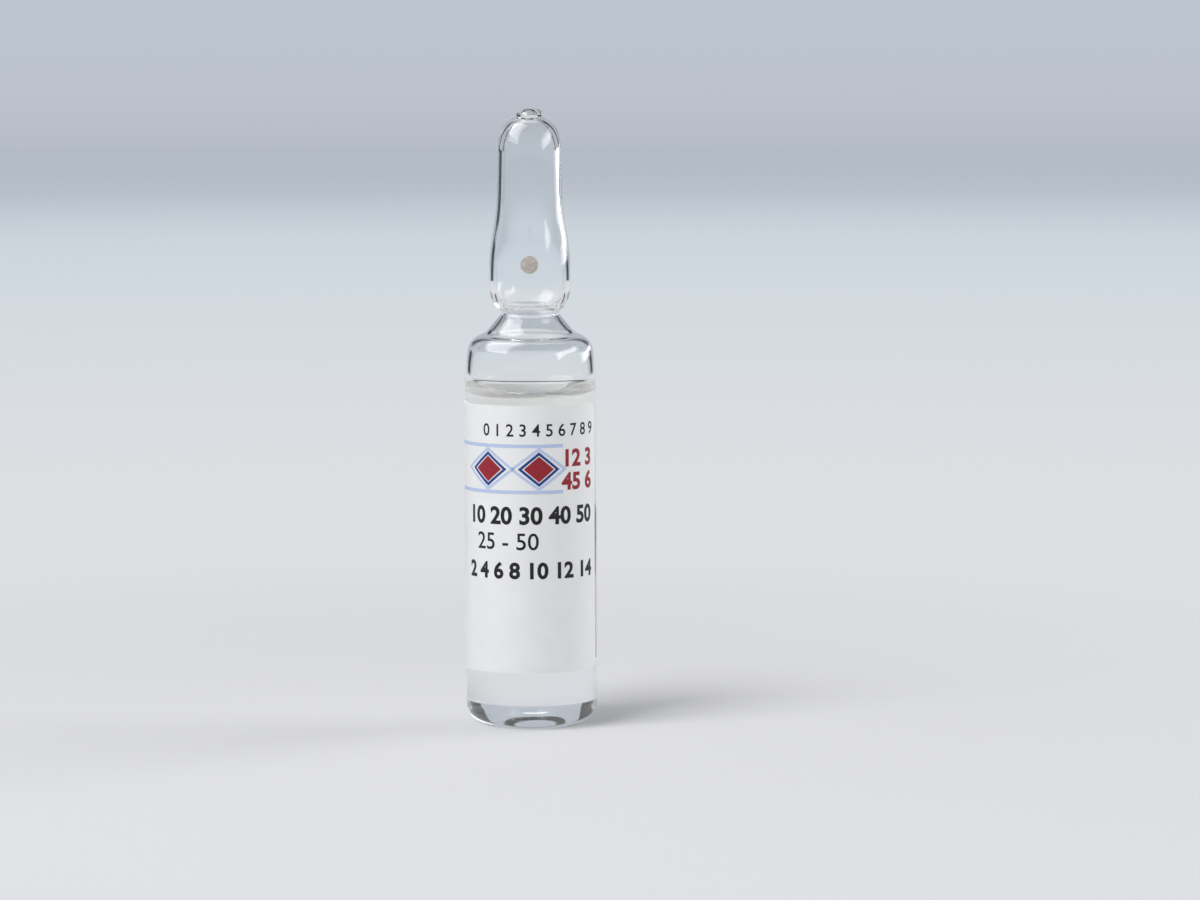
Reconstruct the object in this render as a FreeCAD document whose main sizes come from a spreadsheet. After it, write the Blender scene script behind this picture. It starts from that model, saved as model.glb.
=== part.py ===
import FreeCAD, Part
import math
import os
import Sketcher

# Sealed glass ampoule of 5 ml: one blown glass vessel, the clear solution in it,
# a paper label wrapped round its body and an enamel dot that marks the break point.
# The origin is the centre of the foot, +Z runs up the axis, and the front faces -Y.

# Driving dimensions in mm and degrees, in the order from the foot to the tip
SIZES = {
    "body_diameter": 14.75,
    "body_wall": 0.55,
    "body_height": 39.5,
    "foot_thickness": 0.6,
    "foot_ring_width": 0.73,
    "foot_lip_round": 1.5,
    "push_up_rise": 0.55,
    "heel_radius": 2.5,
    "shoulder_height": 7.0,
    "shoulder_lean_radius": 14.5,
    "shoulder_lean_angle": 11.0,
    "shoulder_round": 2.4,
    "shoulder_flare": 2.2,
    "shelf_angle": 70.0,
    "inner_shoulder_round": 1.75,
    "inner_shoulder_flare": 1.0,
    "inner_shelf_angle": 83.0,
    "neck_diameter": 6.52,
    "neck_round": 0.3,
    "neck_wall": 0.65,
    "bulb_swell": 1.86,
    "bulb_rise": 4.0,
    "bulb_foot_round": 3.5,
    "bulb_belly_round": 9.5,
    "bulb_side_round": 26.0,
    "stem_rise": 9.5,
    "stem_diameter": 7.44,
    "stem_wall": 0.5,
    "stem_length": 4.4,
    "stem_narrowing": 0.24,
    "dome_inset": 0.2,
    "dome_centre_rise": 1.25,
    "tip_wall": 0.75,
    "bead_diameter": 2.95,
    "bead_rise": 0.72,
    "bead_tilt": 4.0,
    "front_angle": -90.0,
    "score_depth": 0.15,
    "score_opening_angle": 70.0,
    "score_sweep": 60.0,
    "fill_below_shoulder": 0.5,
    "meniscus_rise": 1.8,
    "meniscus_width": 2.6,
    "label_foot_margin": 6.6,
    "label_shoulder_margin": 2.9,
    "label_thickness": 0.1,
    "label_sweep": 295.0,
    "label_right_angle": 73.5,
    "label_corner_radius": 1.2,
    "dot_diameter": 2.0,
    "dot_rise": 1.65,
    "dot_thickness": 0.06,
}

# Directions within a sketch
OUT_OF_SKETCH = FreeCAD.Vector(0, 0, 1)
SKETCH_UP = FreeCAD.Vector(0, 1, 0)

# Height difference in mm under which an edge counts as level
LEVEL_TOLERANCE = 1e-6

# Degrees that the strip of enamel turns through, more than the dot cut from it needs
DOT_STRIP_SWEEP = "60"

# Rough places for the solver to start from: shares of a way, and steps in mm
ROUGH_LIP_SHARE = 0.1
ROUGH_SHOULDER_SHARE = 0.42
ROUGH_FLARE_SHARE = 0.55
ROUGH_CONE_SHARE = 0.95
ROUGH_WAIST_STEP = FreeCAD.Vector(0.1, 0.2, 0)
ROUGH_FOOT_STEP = FreeCAD.Vector(0.3, 0, 0)

# Least radius of a rough arc, as a share of half its chord
ROUGH_ARC_SLACK = 1.01


def fill_sheet(document):
    """Write the driving dimensions into the document's sheet."""
    sheet = document.addObject("Spreadsheet::Sheet", "Dims")
    for row, (name, value) in enumerate(SIZES.items(), start=1):
        sheet.set("A" + str(row), name)
        sheet.set("B" + str(row), str(value))
        sheet.setAlias("B" + str(row), name)
    document.recompute()
    return sheet


def add_body(document, label):
    """Add the body of one sub-part."""
    body = document.addObject("PartDesign::Body", label)
    body.Label = label
    body.Placement = FreeCAD.Placement()
    return body


def origin_plane(body, role):
    """Find one of the body's own origin planes."""
    return next(plane for plane in body.Origin.OriginFeatures if plane.Role == role)


class Section:
    """Sketch whose outline is drawn roughly and then sized by its constraints.

    The sketch's x is the radius and its y is the height. Its plane holds the axis and
    faces away from it at the given angle, counted from +X towards +Y.
    """

    def __init__(self, body, name, facing="0"):
        self.sketch = body.newObject("Sketcher::SketchObject", name)
        self.sketch.AttachmentSupport = (origin_plane(body, "XZ_Plane"), "")
        self.sketch.MapMode = "FlatFace"
        turned = FreeCAD.Rotation(SKETCH_UP, 1)
        self.sketch.AttachmentOffset = FreeCAD.Placement(FreeCAD.Vector(), turned)
        self.sketch.setExpression("AttachmentOffset.Rotation.Angle", facing)
        self.ends = {}

    def value(self, expression):
        """Work out an expression of the sheet as a plain number."""
        return float(self.sketch.evalExpression(expression))

    def point(self, radius, height):
        """Make a rough place from two expressions."""
        return FreeCAD.Vector(self.value(radius), self.value(height), 0)

    def line(self, start, end):
        """Add a straight edge between two rough places."""
        edge = self.sketch.addGeometry(Part.LineSegment(start, end))
        self.ends[edge] = (1, 2)
        return edge

    def arc(self, start, end, radius, convex=True):
        """Add an arc that turns left when convex, and right when not."""
        chord = end - start
        half = chord.Length / 2
        radius = max(radius, ROUGH_ARC_SLACK * half)
        reach = math.sqrt(radius ** 2 - half ** 2)
        left = OUT_OF_SKETCH.cross(chord).normalize()
        centre = (start + end) / 2 + left * (reach if convex else -reach)
        first, last = (start, end) if convex else (end, start)
        angles = [math.atan2(place.y - centre.y, place.x - centre.x) for place in (first, last)]
        circle = Part.Circle(centre, OUT_OF_SKETCH, radius)
        edge = self.sketch.addGeometry(Part.ArcOfCircle(circle, angles[0], angles[1]))
        self.ends[edge] = (1, 2) if convex else (2, 1)
        return edge

    def start_of(self, edge):
        """Give the end of an edge that it was drawn from."""
        return edge, self.ends[edge][0]

    def end_of(self, edge):
        """Give the end of an edge that it was drawn to."""
        return edge, self.ends[edge][1]

    def smooth(self, *edges):
        """Join edges end to start so that each runs on from the one before."""
        for before, after in zip(edges, edges[1:]):
            join = self.end_of(before) + self.start_of(after)
            self.sketch.addConstraint(Sketcher.Constraint("Tangent", *join))

    def corner(self, before, after):
        """Join two edges end to start with a corner."""
        join = self.end_of(before) + self.start_of(after)
        self.sketch.addConstraint(Sketcher.Constraint("Coincident", *join))

    def rule(self, kind, *places):
        """Add a constraint that has no size."""
        self.sketch.addConstraint(Sketcher.Constraint(kind, *places))

    def size(self, name, kind, places, expression):
        """Add a constraint whose size follows the sheet."""
        value = self.value(expression)
        if kind == "Angle":
            value = math.radians(value)
        index = self.sketch.addConstraint(Sketcher.Constraint(kind, *places, value))
        self.sketch.renameConstraint(index, name)
        self.sketch.setExpression("Constraints." + name, expression)

    def place(self, name, end, radius=None, height=None):
        """Fix one end of an edge at a radius, at a height or at both."""
        if radius is not None:
            self.size(name + "_radius", "DistanceX", (-1, 1) + end, radius)
        if height is not None:
            self.size(name + "_height", "DistanceY", (-1, 1) + end, height)


def mix(first, second, share):
    """Give the place at a share of the way from the first to the second."""
    return first + (second - first) * share


# Outer radii and heights up the axis, as sums of the driving dimensions
BODY_RADIUS = "Dims.body_diameter / 2"
NECK_RADIUS = "Dims.neck_diameter / 2"
STEM_RADIUS = "Dims.stem_diameter / 2"
STEM_TOP_RADIUS = "(Dims.stem_diameter - Dims.stem_narrowing) / 2"
BULB_RADIUS = "(Dims.stem_diameter + Dims.bulb_swell) / 2"
DOME_RADIUS = "(" + STEM_TOP_RADIUS + " - Dims.dome_inset)"
BEAD_RADIUS = "(Dims.bead_diameter / 2)"
FOOT_RING_BORE_RADIUS = "(" + BODY_RADIUS + " - Dims.heel_radius - Dims.foot_ring_width)"
NECK_HEIGHT = "Dims.body_height + Dims.shoulder_height"
BULB_HEIGHT = NECK_HEIGHT + " + Dims.bulb_rise"
STEM_FOOT = BULB_HEIGHT + " + Dims.stem_rise"
STEM_TOP = STEM_FOOT + " + Dims.stem_length"
DOME_CENTRE = STEM_TOP + " + Dims.dome_centre_rise"
BEAD_HEIGHT = DOME_CENTRE + " + sqrt(" + DOME_RADIUS + " ^ 2 - " + BEAD_RADIUS + " ^ 2)"
FILL_HEIGHT = "Dims.body_height - Dims.fill_below_shoulder"

# Radii and thicknesses of the outer skin of the glass
OUTER_SKIN = {
    "floor_centre": "Dims.push_up_rise",
    "floor_ring": "0",
    "lip": "Dims.foot_lip_round",
    "wall": BODY_RADIUS,
    "heel": "Dims.heel_radius",
    "lean": "Dims.shoulder_lean_radius",
    "shoulder": "Dims.shoulder_round",
    "flare": "Dims.shoulder_flare",
    "shelf": "Dims.shelf_angle",
    "waist": "Dims.neck_round",
    "foot": "Dims.bulb_foot_round",
    "belly": "Dims.bulb_belly_round",
    "side": "Dims.bulb_side_round",
    "bulb": BULB_RADIUS,
    "stem": STEM_RADIUS,
    "stem_top": STEM_TOP_RADIUS,
    "dome": DOME_RADIUS,
    "dome_centre": DOME_CENTRE,
}

# The same for the inner skin, which lies one wall inside it
INNER_SKIN = {
    "floor_centre": "Dims.push_up_rise + Dims.foot_thickness",
    "floor_ring": "Dims.foot_thickness",
    "lip": "Dims.foot_lip_round - Dims.foot_thickness",
    "wall": BODY_RADIUS + " - Dims.body_wall",
    "heel": "Dims.heel_radius - Dims.body_wall",
    "lean": "Dims.shoulder_lean_radius - Dims.body_wall",
    "shoulder": "Dims.inner_shoulder_round",
    "flare": "Dims.inner_shoulder_flare",
    "shelf": "Dims.inner_shelf_angle",
    "waist": "Dims.neck_round + Dims.neck_wall",
    "foot": "Dims.bulb_foot_round - Dims.stem_wall",
    "belly": "Dims.bulb_belly_round - Dims.stem_wall",
    "side": "Dims.bulb_side_round - Dims.stem_wall",
    "bulb": BULB_RADIUS + " - Dims.stem_wall",
    "stem": STEM_RADIUS + " - Dims.stem_wall",
    "stem_top": STEM_TOP_RADIUS + " - Dims.stem_wall",
    "dome": DOME_RADIUS + " - Dims.stem_wall",
    "dome_centre": DOME_CENTRE + " - Dims.tip_wall + Dims.stem_wall",
}


def draw_floor(section, skin, wall_top):
    """Draw a skin from the axis over the push-up, the foot ring and the heel up the wall."""
    centre = section.point("0", skin["floor_centre"])
    ring_start = section.point(FOOT_RING_BORE_RADIUS, skin["floor_ring"])
    lip_start = mix(ring_start, centre, ROUGH_LIP_SHARE)
    heel_start = section.point(skin["wall"] + " - (" + skin["heel"] + ")", skin["floor_ring"])
    heel_end = section.point(skin["wall"], skin["floor_ring"] + " + " + skin["heel"])
    floor = section.arc(centre, lip_start, 2 * ring_start.x, convex=False)
    lip = section.arc(lip_start, ring_start, section.value(skin["lip"]))
    ring = section.line(ring_start, heel_start)
    heel = section.arc(heel_start, heel_end, section.value(skin["heel"]))
    wall = section.line(heel_end, section.point(skin["wall"], wall_top))
    section.smooth(floor, lip, ring, heel, wall)
    section.rule("PointOnObject", floor, 3, -2)
    section.rule("PointOnObject", *section.start_of(floor), -2)
    section.rule("Horizontal", ring)
    section.rule("Vertical", wall)
    section.place("floor_centre", section.start_of(floor), height=skin["floor_centre"])
    section.size("lip", "Radius", (lip,), skin["lip"])
    section.place("ring", section.start_of(ring), FOOT_RING_BORE_RADIUS, skin["floor_ring"])
    section.size("heel", "Radius", (heel,), skin["heel"])
    section.place("wall", section.end_of(wall), skin["wall"], wall_top)
    return floor, wall


def draw_shoulder(section, skin, wall):
    """Draw a skin from the wall over the shoulder and the cone into the waist."""
    lean_radius = section.value(skin["lean"])
    lean = math.radians(section.value("Dims.shoulder_lean_angle"))
    lean_start = section.point(skin["wall"], "Dims.body_height")
    lean_step = FreeCAD.Vector(math.cos(lean) - 1, math.sin(lean), 0) * lean_radius
    lean_end = lean_start + lean_step
    neck = section.point(NECK_RADIUS, NECK_HEIGHT)
    shoulder_end = mix(lean_end, neck, ROUGH_SHOULDER_SHARE)
    flare_end = mix(lean_end, neck, ROUGH_FLARE_SHARE)
    cone_end = mix(lean_end, neck, ROUGH_CONE_SHARE)
    waist_end = neck + ROUGH_WAIST_STEP
    side = section.arc(lean_start, lean_end, lean_radius)
    shoulder = section.arc(lean_end, shoulder_end, section.value(skin["shoulder"]))
    flare = section.arc(shoulder_end, flare_end, section.value(skin["flare"]), convex=False)
    cone = section.line(flare_end, cone_end)
    waist = section.arc(cone_end, waist_end, section.value(skin["waist"]), convex=False)
    section.smooth(wall, side, shoulder, flare, cone, waist)
    section.size("lean", "Radius", (side,), skin["lean"])
    section.size("lean_angle", "Angle", (side,), "Dims.shoulder_lean_angle")
    section.size("shoulder", "Radius", (shoulder,), skin["shoulder"])
    section.size("shelf", "Angle", (shoulder,), skin["shelf"] + " - Dims.shoulder_lean_angle")
    section.size("flare", "Radius", (flare,), skin["flare"])
    section.size("waist", "Radius", (waist,), skin["waist"])
    section.place("waist_centre", (waist, 3), NECK_RADIUS + " + Dims.neck_round", NECK_HEIGHT)
    return waist


def draw_bulb(section, skin, waist):
    """Draw a skin from the waist round the bulb and up the stem to the sealed dome."""
    neck = section.point(NECK_RADIUS, NECK_HEIGHT)
    bulb = section.point(skin["bulb"], BULB_HEIGHT)
    stem_foot = section.point(skin["stem"], STEM_FOOT)
    stem_top = section.point(skin["stem_top"], STEM_TOP)
    dome_start = section.point(skin["dome"], skin["dome_centre"])
    dome_top = section.point("0", skin["dome_centre"] + " + " + skin["dome"])
    foot_end = (neck + bulb) / 2 + ROUGH_FOOT_STEP
    side_end = (bulb + stem_foot) / 2
    foot = section.arc(neck, foot_end, section.value(skin["foot"]))
    belly = section.arc(foot_end, bulb, section.value(skin["belly"]))
    side = section.arc(bulb, side_end, section.value(skin["side"]))
    taper = section.arc(side_end, stem_foot, section.value(skin["side"]), convex=False)
    stem = section.line(stem_foot, stem_top)
    edge = section.arc(stem_top, dome_start, 2 * section.value(skin["dome"]))
    dome = section.arc(dome_start, dome_top, section.value(skin["dome"]))
    section.smooth(waist, foot, belly, side, taper, stem, edge, dome)
    section.size("foot", "Radius", (foot,), skin["foot"])
    section.size("belly", "Radius", (belly,), skin["belly"])
    section.size("side", "Radius", (side,), skin["side"])
    section.place("bulb", section.start_of(side), skin["bulb"], BULB_HEIGHT)
    section.place("side_centre", (side, 3), height=BULB_HEIGHT)
    section.place("stem_foot", section.end_of(taper), skin["stem"], STEM_FOOT)
    section.place("stem_top", section.end_of(stem), skin["stem_top"], STEM_TOP)
    section.size("dome", "Radius", (dome,), skin["dome"])
    section.rule("PointOnObject", dome, 3, -2)
    section.rule("PointOnObject", *section.end_of(dome), -2)
    section.place("dome_centre", (dome, 3), height=skin["dome_centre"])
    return dome


def draw_vessel(body, name, skin):
    """Draw the closed half section of the whole vessel along one skin of the glass."""
    section = Section(body, name)
    floor, wall = draw_floor(section, skin, "Dims.body_height")
    waist = draw_shoulder(section, skin, wall)
    dome = draw_bulb(section, skin, waist)
    top = section.point("0", skin["dome_centre"] + " + " + skin["dome"])
    axis = section.line(top, section.point("0", skin["floor_centre"]))
    section.corner(dome, axis)
    section.corner(axis, floor)
    return section.sketch


def turn(body, kind, name, sketch, angle="360", midplane=False):
    """Turn a sketch about the axis, to add material or to cut it away."""
    feature = body.newObject("PartDesign::" + kind, name)
    feature.Profile = sketch
    feature.ReferenceAxis = (sketch, ["V_Axis"])
    feature.Midplane = midplane
    feature.setExpression("Angle", angle)
    return feature


def settle(body, feature):
    """Work the body out, and stop if a cut took nothing away."""
    before = feature.BaseFeature.Shape.Volume
    body.Document.recompute()
    if feature.Shape.Volume >= before:
        raise RuntimeError(feature.Name + " cut nothing")


def add_sealing_bead(body):
    """Add the lens of melted glass that the flame left on the tip, leaning a little."""
    bead = body.newObject("PartDesign::AdditiveEllipsoid", "sealing_bead")
    bead.setExpression("Radius1", "Dims.bead_rise")
    bead.setExpression("Radius2", BEAD_RADIUS)
    bead.setExpression("Radius3", BEAD_RADIUS)
    leaning = FreeCAD.Rotation(-SKETCH_UP, 1)
    bead.Placement = FreeCAD.Placement(FreeCAD.Vector(), leaning)
    bead.setExpression("Placement.Base.z", BEAD_HEIGHT)
    bead.setExpression("Placement.Rotation.Angle", "Dims.bead_tilt")


def cut_score(body):
    """Cut the score under the dot, a V part of the way round the waist."""
    section = Section(body, "score_section", "Dims.front_angle")
    root_radius = NECK_RADIUS + " - Dims.score_depth"
    mouth_radius = NECK_RADIUS + " + Dims.neck_round"
    half_width = "(Dims.score_depth + Dims.neck_round) * tan(Dims.score_opening_angle / 2)"
    root = section.point(root_radius, NECK_HEIGHT)
    below = section.point(mouth_radius, NECK_HEIGHT + " - " + half_width)
    above = section.point(mouth_radius, NECK_HEIGHT + " + " + half_width)
    lower = section.line(root, below)
    mouth = section.line(below, above)
    upper = section.line(above, root)
    section.corner(lower, mouth)
    section.corner(mouth, upper)
    section.corner(upper, lower)
    section.rule("Vertical", mouth)
    section.place("root", section.start_of(lower), root_radius, NECK_HEIGHT)
    section.place("mouth", section.start_of(mouth), mouth_radius, NECK_HEIGHT + " - " + half_width)
    section.place("mouth_top", section.end_of(mouth), height=NECK_HEIGHT + " + " + half_width)
    settle(body, turn(body, "Groove", "score", section.sketch, "Dims.score_sweep", midplane=True))


def build_glass(document):
    """Build the blown vessel: its skin, the sealing bead, the cavity and the score."""
    body = add_body(document, "glass_ampoule")
    turn(body, "Revolution", "outer_skin", draw_vessel(body, "outer_section", OUTER_SKIN))
    add_sealing_bead(body)
    document.recompute()
    settle(body, turn(body, "Groove", "cavity", draw_vessel(body, "inner_section", INNER_SKIN)))
    cut_score(body)
    return body


def build_solution(document):
    """Build the clear solution, which fills the cavity up to its meniscus."""
    body = add_body(document, "solution")
    section = Section(body, "fill_section")
    floor, wall = draw_floor(section, INNER_SKIN, FILL_HEIGHT)
    level = FILL_HEIGHT + " - Dims.meniscus_rise"
    rim_radius = INNER_SKIN["wall"] + " - Dims.meniscus_width"
    contact = section.point(INNER_SKIN["wall"], FILL_HEIGHT)
    rim = section.point(rim_radius, level)
    centre = section.point("0", level)
    meniscus = section.arc(contact, rim, section.value("Dims.meniscus_width"), convex=False)
    surface = section.line(rim, centre)
    axis = section.line(centre, section.point("0", INNER_SKIN["floor_centre"]))
    section.corner(wall, meniscus)
    section.smooth(meniscus, surface)
    section.corner(surface, axis)
    section.corner(axis, floor)
    section.rule("Horizontal", surface)
    section.rule("PointOnObject", *section.end_of(surface), -2)
    section.place("rim", section.end_of(meniscus), rim_radius, level)
    turn(body, "Revolution", "fill", section.sketch)
    document.recompute()
    return body


def draw_box(section, low, high):
    """Draw an upright rectangle from its low inner corner to its high outer corner."""
    corners = [section.point(*low), section.point(high[0], low[1])]
    corners += [section.point(*high), section.point(low[0], high[1])]
    sides = [section.line(corners[side], corners[(side + 1) % 4]) for side in range(4)]
    for side in range(4):
        section.corner(sides[side - 1], sides[side])
        section.rule("Horizontal" if side % 2 == 0 else "Vertical", sides[side])
    section.place("low", section.start_of(sides[0]), *low)
    section.place("high", section.end_of(sides[1]), *high)


def build_label(document):
    """Build the paper label, wrapped round the body with a clear window between its ends."""
    body = add_body(document, "label")
    left_end = "Dims.front_angle + Dims.label_right_angle - Dims.label_sweep"
    foot = "Dims.label_foot_margin"
    top = "Dims.body_height - Dims.label_shoulder_margin"
    face_radius = BODY_RADIUS + " + Dims.label_thickness"

    # The wrap starts as a blank that reaches into the glass, so that its corners round cleanly
    blank_section = Section(body, "blank_section", left_end)
    draw_box(blank_section, ("Dims.body_diameter / 4", foot), (face_radius, top))
    blank = turn(body, "Revolution", "blank", blank_section.sketch, "Dims.label_sweep")
    document.recompute()
    corner_edges = [
        "Edge" + str(number)
        for number, edge in enumerate(blank.Shape.Edges, start=1)
        if points_at_axis(edge)
    ]
    corners = body.newObject("PartDesign::Fillet", "rounded_corners")
    corners.Base = (blank, corner_edges)
    corners.setExpression("Radius", "Dims.label_corner_radius")
    settle(body, corners)

    # The glass's own place is cut out of the blank, which leaves the thin paper
    glass_section = Section(body, "glass_section")
    draw_box(glass_section, ("0", "0"), (BODY_RADIUS, "Dims.body_height"))
    settle(body, turn(body, "Groove", "glass_clearance", glass_section.sketch))
    return body


def points_at_axis(edge):
    """Say whether an edge is straight and level, as only the label's corner edges are."""
    straight = edge.Curve.TypeId == "Part::GeomLine"
    return straight and abs(edge.Vertexes[0].Z - edge.Vertexes[1].Z) < LEVEL_TOLERANCE


def draw_enamel(section, low, high):
    """Draw a strip of enamel that follows the side of the bulb between two heights."""
    back_radius = "Dims.bulb_side_round"
    face_radius = "(Dims.bulb_side_round + Dims.dot_thickness)"
    to_centre = back_radius + " - " + BULB_RADIUS

    def on_arc(radius, height):
        """Give the place on one of the strip's two arcs at a height."""
        above_centre = "(" + height + " - (" + BULB_HEIGHT + "))"
        from_centre = "sqrt(" + radius + " ^ 2 - " + above_centre + " ^ 2)"
        return section.point(from_centre + " - (" + to_centre + ")", height)

    back_ends = on_arc(back_radius, high), on_arc(back_radius, low)
    face_ends = on_arc(face_radius, low), on_arc(face_radius, high)
    back = section.arc(*back_ends, section.value(back_radius), convex=False)
    bottom = section.line(back_ends[1], face_ends[0])
    face = section.arc(*face_ends, section.value(face_radius))
    top = section.line(face_ends[1], back_ends[0])
    for before, after in ((back, bottom), (bottom, face), (face, top), (top, back)):
        section.corner(before, after)
    section.rule("Horizontal", bottom)
    section.rule("Horizontal", top)
    section.rule("Coincident", back, 3, face, 3)
    section.size("centre_reach", "DistanceX", (face, 3, -1, 1), to_centre)
    section.place("centre", (face, 3), height=BULB_HEIGHT)
    section.size("back", "Radius", (back,), back_radius)
    section.size("face", "Radius", (face,), face_radius)
    section.place("low", section.start_of(face), height=low)
    section.place("high", section.end_of(face), height=high)


def build_dot(document):
    """Build the enamel dot, a thin disc printed on the front of the bulb."""
    body = add_body(document, "break_dot")
    middle = BULB_HEIGHT + " + Dims.dot_rise"
    strip = Section(body, "strip_section", "Dims.front_angle")
    draw_enamel(strip, middle + " - Dims.dot_diameter", middle + " + Dims.dot_diameter")
    turn(body, "Revolution", "strip", strip.sketch, DOT_STRIP_SWEEP, midplane=True)
    document.recompute()

    # Seen from the front, all but a round disc is cut off the strip
    trim = Section(body, "trim_section")
    centre = trim.point("0", middle)
    circle = Part.Circle(centre, OUT_OF_SKETCH, trim.value("Dims.dot_diameter / 2"))
    disc = trim.sketch.addGeometry(circle)
    trim.rule("PointOnObject", disc, 3, -2)
    trim.place("disc", (disc, 3), height=middle)
    trim.size("disc_diameter", "Diameter", (disc,), "Dims.dot_diameter")
    frame_low = ("-2 * Dims.dot_diameter", middle + " - 2 * Dims.dot_diameter")
    frame_high = ("2 * Dims.dot_diameter", middle + " + 2 * Dims.dot_diameter")
    draw_box(trim, frame_low, frame_high)
    pocket = body.newObject("PartDesign::Pocket", "round_trim")
    pocket.Profile = trim.sketch
    pocket.Type = "ThroughAll"
    pocket.Midplane = True
    settle(body, pocket)
    return body


def check(document, bodies):
    """Stop if a feature failed or a sub-part's shape is missing or wrong."""
    for item in document.Objects:
        if "Invalid" in item.State or "Error" in item.State:
            raise RuntimeError(item.Name + " failed: " + str(item.State))
    for body in bodies:
        if body.Shape.isNull() or not body.Shape.isValid():
            raise RuntimeError(body.Label + " has no valid shape")


def main():
    """Build the ampoule and write each sub-part to its own file."""
    document = FreeCAD.newDocument("ampoule")
    fill_sheet(document)
    builders = (build_glass, build_solution, build_label, build_dot)
    bodies = [builder(document) for builder in builders]
    document.recompute()
    check(document, bodies)
    os.makedirs("parts", exist_ok=True)
    for body in bodies:
        print(body.Label, "volume", round(body.Shape.Volume, 2), "cubic mm")
        body.Shape.exportStep("parts/" + body.Label + ".step")


main()
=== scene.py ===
import logging
import math
from collections.abc import Callable
from dataclasses import dataclass
from enum import Enum

import bmesh
import bpy
from mathutils import Matrix, Vector


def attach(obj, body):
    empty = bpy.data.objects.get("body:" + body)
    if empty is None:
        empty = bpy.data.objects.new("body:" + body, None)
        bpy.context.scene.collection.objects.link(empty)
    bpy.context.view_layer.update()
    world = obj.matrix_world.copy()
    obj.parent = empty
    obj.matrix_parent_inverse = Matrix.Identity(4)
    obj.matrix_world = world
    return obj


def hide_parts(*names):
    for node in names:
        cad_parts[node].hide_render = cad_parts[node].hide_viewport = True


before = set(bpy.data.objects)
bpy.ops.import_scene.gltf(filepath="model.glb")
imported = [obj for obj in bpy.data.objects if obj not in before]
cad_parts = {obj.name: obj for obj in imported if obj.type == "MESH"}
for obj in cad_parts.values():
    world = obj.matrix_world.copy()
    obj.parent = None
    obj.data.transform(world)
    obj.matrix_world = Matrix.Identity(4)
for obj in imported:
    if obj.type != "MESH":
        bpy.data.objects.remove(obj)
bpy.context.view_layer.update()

MM = 0.001
FULL_TURN = 2 * math.pi
QUARTER_TURN = math.pi / 2
FRONT = -QUARTER_TURN
IMAGE_WIDTH = 1200
SENSOR_WIDTH = 36.0

Colour = tuple[float, float, float, float]
Pair = tuple[float, float]
Point = tuple[float, float, float]

NOISE_LOW, NOISE_HIGH = 0.3, 0.7

log = logging.getLogger("ampoule")


def tone(red: int, green: int, blue: int) -> Colour:
    """Turn a display colour of three values up to 255 into the linear colour of a shader.

    Args:
        red: Red as shown on a screen.
        green: Green as shown on a screen.
        blue: Blue as shown on a screen.

    Returns:
        The linear colour with an alpha of 1.
    """
    shown = (value / 255 for value in (red, green, blue))
    linear = [v / 12.92 if v <= 0.04045 else ((v + 0.055) / 1.055) ** 2.4 for v in shown]
    return (*linear, 1.0)


class Shape:
    """Mesh being modelled in millimetres, which becomes one piece of the object."""

    def __init__(self) -> None:
        """Start with an empty mesh."""
        self.mesh = bmesh.new()

    def vertex(self, x: float, y: float, z: float) -> bmesh.types.BMVert:
        """Add one vertex."""
        return self.mesh.verts.new((x, y, z))

    def move(self, rule: Callable[[Vector], Vector]) -> None:
        """Put every vertex where a rule says.

        Args:
            rule: Gives a vertex's new place from its old one.
        """
        for vertex in self.mesh.verts:
            vertex.co = rule(vertex.co)

    def merge(self, reach: float = 1e-4) -> None:
        """Join vertices that lie in one place, and turn the faces outward.

        Args:
            reach: Distance in millimetres within which vertices are joined.
        """
        bmesh.ops.remove_doubles(self.mesh, verts=self.mesh.verts, dist=reach)
        bmesh.ops.recalc_face_normals(self.mesh, faces=self.mesh.faces)

    def finish(self, name: str, material: bpy.types.Material, corner: float = 40.0) -> bpy.types.Object:
        """Turn the mesh into an object in metres, at the origin.

        Args:
            name: Name of the new object.
            material: Finish of the whole piece.
            corner: Angle in degrees from which an edge between faces stays sharp.

        Returns:
            The new object, linked to the scene.
        """
        bmesh.ops.scale(self.mesh, verts=self.mesh.verts, vec=(MM, MM, MM))
        data = bpy.data.meshes.new(name)
        self.mesh.to_mesh(data)
        self.mesh.free()
        data.polygons.foreach_set("use_smooth", [True] * len(data.polygons))
        data.set_sharp_from_angle(angle=math.radians(corner))
        data.materials.append(material)
        piece = bpy.data.objects.new(name, data)
        bpy.context.scene.collection.objects.link(piece)
        return piece


@dataclass(frozen=True)
class Arc:
    """Part of a section that is an arc, as radius and height in millimetres."""

    centre: Pair
    end: Pair
    steps: int


@dataclass(frozen=True)
class Run:
    """Part of a section that is straight, as radius and height in millimetres."""

    end: Pair
    steps: int = 1


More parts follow.
